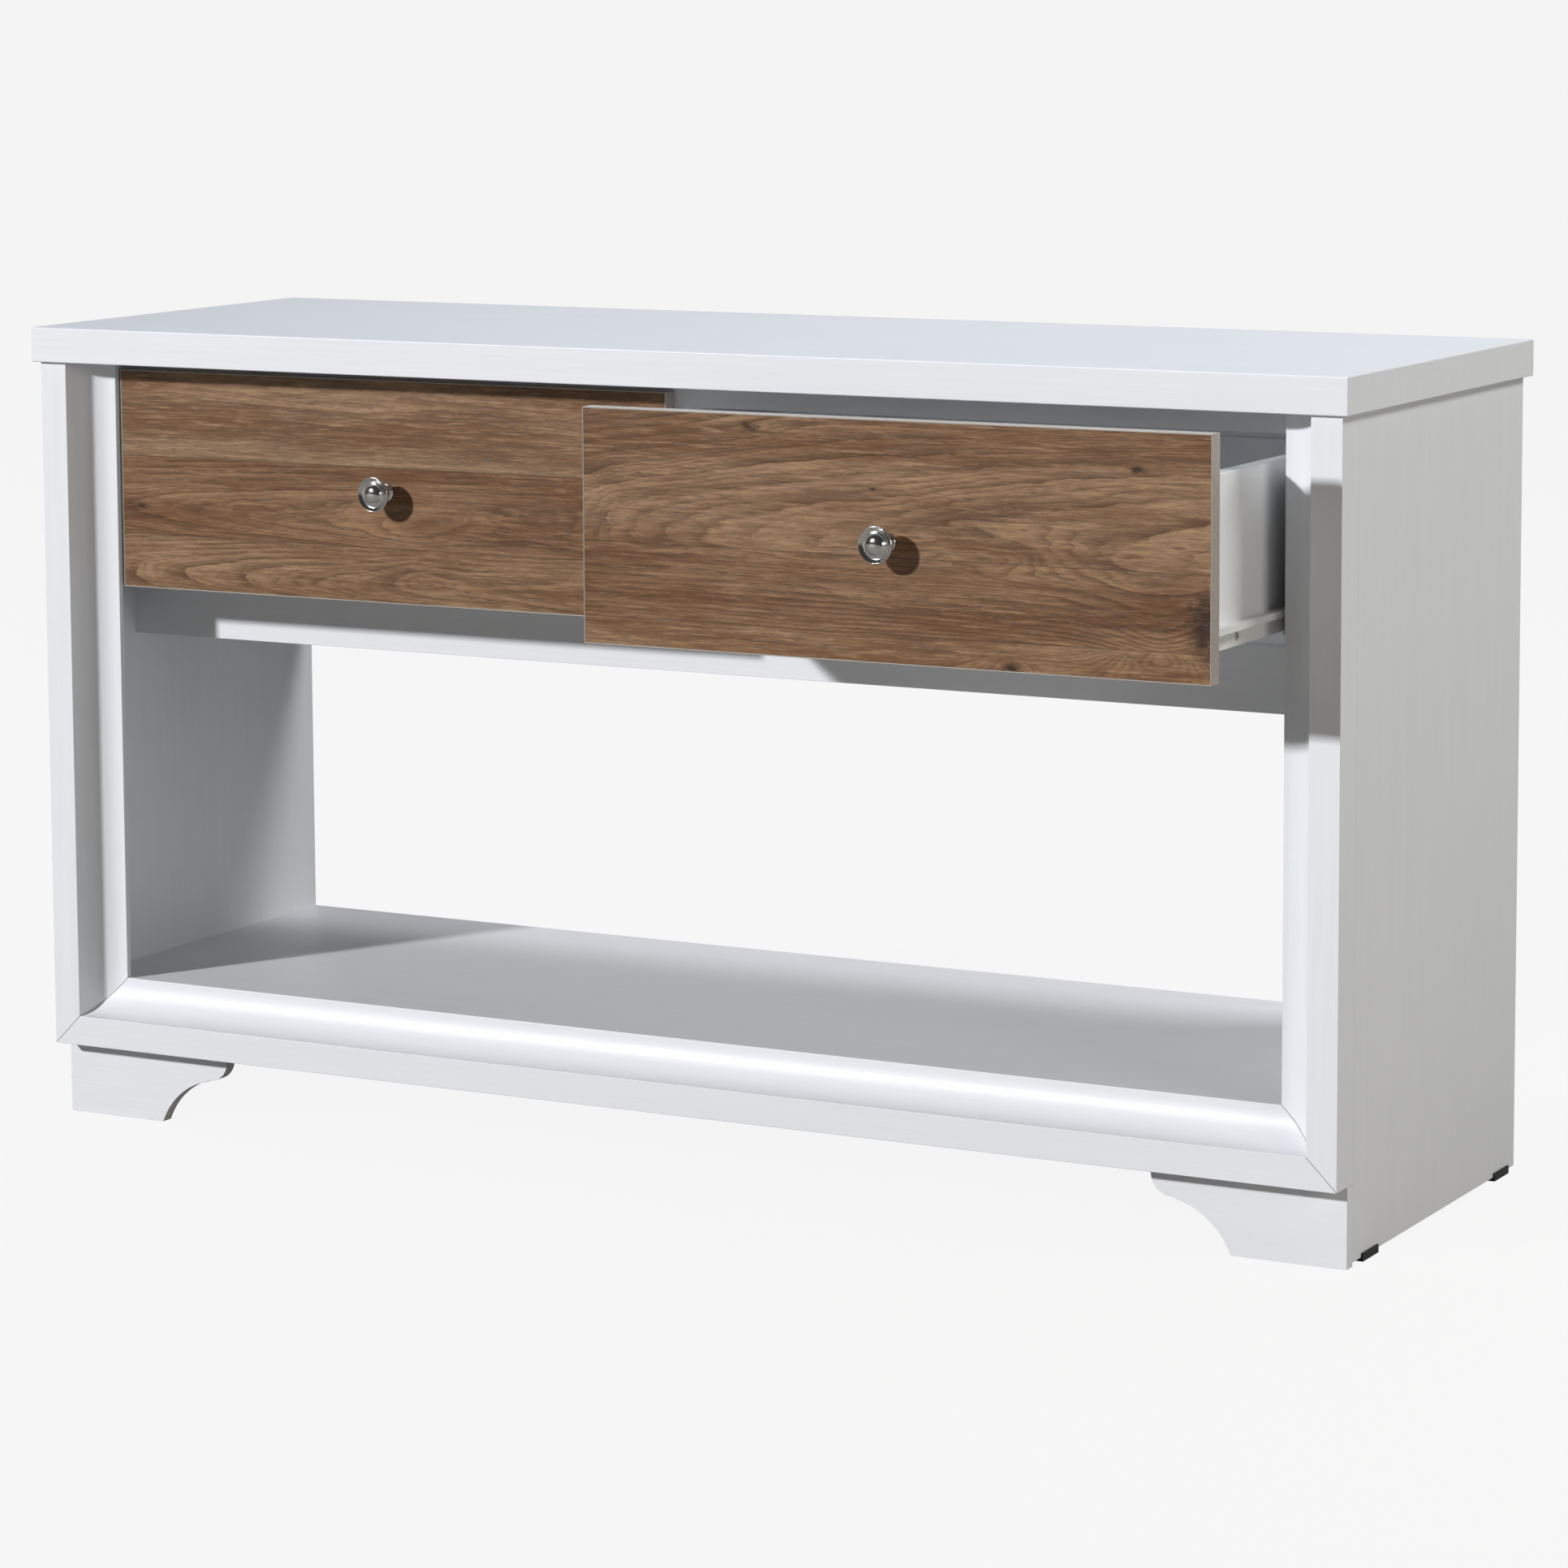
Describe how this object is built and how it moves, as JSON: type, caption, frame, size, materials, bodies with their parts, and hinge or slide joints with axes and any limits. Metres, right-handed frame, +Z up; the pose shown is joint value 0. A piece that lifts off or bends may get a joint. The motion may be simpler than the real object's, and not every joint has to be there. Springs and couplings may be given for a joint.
{
  "type": "console table",
  "caption": "Console table with inset drawers on roller runners, an open bay over a low shelf, a coved front frame, bracket feet and round knobs.",
  "frame": {"origin": "on the floor, midway across the table, and midway between the open right drawer's knob and the back edge of the top", "axes": "+X along the table towards the open drawer, -Y out of the front, +Z up"},
  "size_m": [1.22, 0.532, 0.695],
  "materials": {
    "white_laminate": "white melamine foil with a fine embossed grain, satin",
    "drawer_white": "smooth white foil, satin",
    "white_hardboard": "white lacquered hardboard, matt",
    "walnut": "walnut-grain foil in horizontal staves, satin",
    "taupe_edging": "grey-brown plastic edge band, satin",
    "raw_wood": "unfinished softwood and beech",
    "satin_nickel": "polished nickel plate",
    "runner_enamel": "cream-white epoxy on rolled steel",
    "screw_steel": "zinc-plated steel",
    "zinc": "die-cast zinc",
    "nylon": "white nylon",
    "black_plastic": "black moulded plastic"
  },
  "bodies": {
    "cabinet": {"top_panel": "white_laminate", "side_panel_left": "white_laminate", "side_panel_right": "white_laminate", "lower_shelf": "white_laminate", "plinth_rail": "white_laminate", "front_rail": "white_laminate", "rear_rail": "white_laminate", "front_stretcher": "white_laminate", "back_panel": "white_hardboard", "center_divider": "white_laminate", "case_side_left": "white_laminate", "case_side_right": "white_laminate", "stile_moulding_left": "white_laminate", "stile_moulding_right": "white_laminate", "base_moulding": "white_laminate", "bracket_foot_left": "white_laminate", "bracket_foot_right": "white_laminate", "foot_blocks": "raw_wood", "glides": "black_plastic", "cam_locks": "zinc", "cam_bolts": "screw_steel", "dowels": "raw_wood", "stretcher_screws": "screw_steel", "back_panel_screws": "screw_steel", "cabinet_runner_ll": "runner_enamel", "cabinet_runner_lr": "runner_enamel", "cabinet_runner_rl": "runner_enamel", "cabinet_runner_rr": "runner_enamel"},
    "left_drawer": {"left_drawer_front": "walnut", "left_edge_band": "taupe_edging", "left_box_front": "drawer_white", "left_box_side_outer": "drawer_white", "left_box_side_inner": "drawer_white", "left_box_back": "drawer_white", "left_box_bottom": "white_hardboard", "left_knob": "satin_nickel", "left_knob_screw": "screw_steel", "left_runner_outer": "runner_enamel", "left_runner_inner": "runner_enamel", "left_runner_screws": "screw_steel"},
    "right_drawer": {"right_drawer_front": "walnut", "right_edge_band": "taupe_edging", "right_box_front": "drawer_white", "right_box_side_outer": "drawer_white", "right_box_side_inner": "drawer_white", "right_box_back": "drawer_white", "right_box_bottom": "white_hardboard", "right_knob": "satin_nickel", "right_knob_screw": "screw_steel", "right_runner_outer": "runner_enamel", "right_runner_inner": "runner_enamel", "right_runner_screws": "screw_steel"},
    "left_front_rollers": {"left_front_rollers": "nylon"},
    "left_rear_rollers": {"left_rear_rollers": "nylon"},
    "right_front_rollers": {"right_front_rollers": "nylon"},
    "right_rear_rollers": {"right_rear_rollers": "nylon"}
  },
  "joints": [
    {"name": "left_drawer_slide", "type": "slide", "parent": "cabinet", "child": "left_drawer", "axis": [0, -1, 0], "range_m": [0, 0.225]},
    {"name": "right_drawer_slide", "type": "slide", "parent": "cabinet", "child": "right_drawer", "axis": [0, -1, 0], "range_m": [-0.139, 0.086]},
    {"name": "left_front_rollers_spin", "type": "hinge", "parent": "cabinet", "child": "left_front_rollers", "pos_m": [-0.27675, -0.076, 0.5005], "axis": [1, 0, 0], "continuous": true},
    {"name": "left_rear_rollers_spin", "type": "hinge", "parent": "left_drawer", "child": "left_rear_rollers", "pos_m": [-0.27675, 0.203, 0.4975], "axis": [1, 0, 0], "continuous": true},
    {"name": "right_front_rollers_spin", "type": "hinge", "parent": "cabinet", "child": "right_front_rollers", "pos_m": [0.27675, -0.076, 0.5005], "axis": [1, 0, 0], "continuous": true},
    {"name": "right_rear_rollers_spin", "type": "hinge", "parent": "right_drawer", "child": "right_rear_rollers", "pos_m": [0.27675, 0.064, 0.4975], "axis": [1, 0, 0], "continuous": true}
  ],
  "couplings": [
    {"joint": "left_front_rollers_spin", "follows": "left_drawer_slide", "rad_per_m": 125},
    {"joint": "left_rear_rollers_spin", "follows": "left_drawer_slide", "rad_per_m": 125},
    {"joint": "right_front_rollers_spin", "follows": "right_drawer_slide", "rad_per_m": 125},
    {"joint": "right_rear_rollers_spin", "follows": "right_drawer_slide", "rad_per_m": 125}
  ]
}
